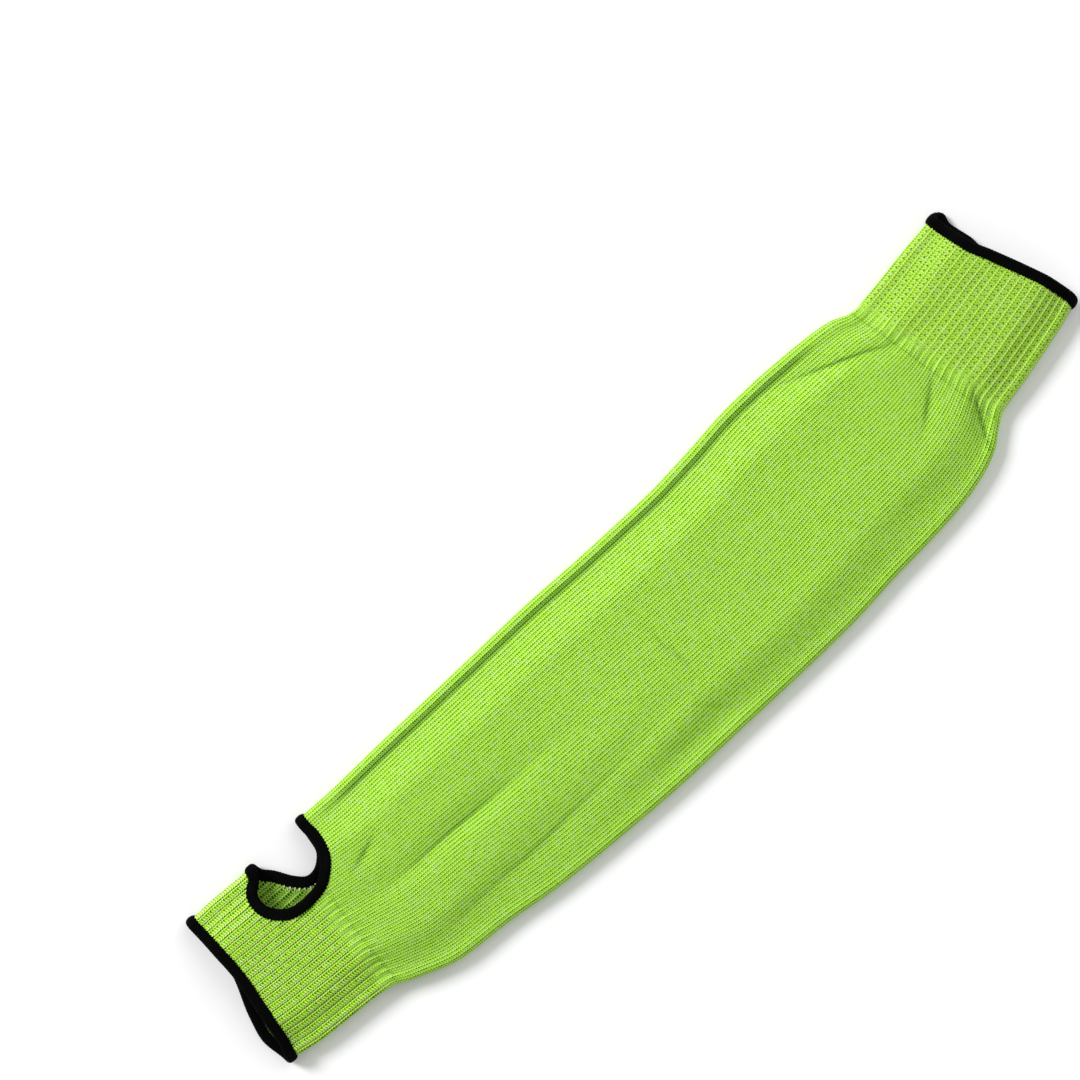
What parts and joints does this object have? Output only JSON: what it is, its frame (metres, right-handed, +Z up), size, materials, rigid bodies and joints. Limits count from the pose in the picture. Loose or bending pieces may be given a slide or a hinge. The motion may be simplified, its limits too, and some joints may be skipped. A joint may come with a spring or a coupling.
{
  "type": "cut resistant sleeve",
  "caption": "Knitted protective arm sleeve lying flat: plain tube between ribbed cuffs, black overlocked mouths and a bound thumb hole in the hand cuff.",
  "frame": {"origin": "middle of the bounding box, on the ground under the sleeve", "axes": "+X runs from the hand mouth to the upper arm mouth, +Y to the side with the thumb hole, +Z up through the upper layer"},
  "size_m": [0.4584, 0.1022, 0.0156],
  "materials": {
    "lime_jersey": "matte plain knit with pale marled flecks",
    "lime_rib": "matte ribbed knit",
    "black_overlock": "matte overlock stitching"
  },
  "bodies": {
    "root": {"forearm_tube": "lime_jersey", "elbow_tube": "lime_jersey", "upper_arm_tube": "lime_jersey", "hand_cuff": "lime_rib", "upper_cuff": "lime_rib", "hand_binding": "black_overlock", "upper_binding": "black_overlock", "thumb_binding": "black_overlock"}
  },
  "joints": []
}
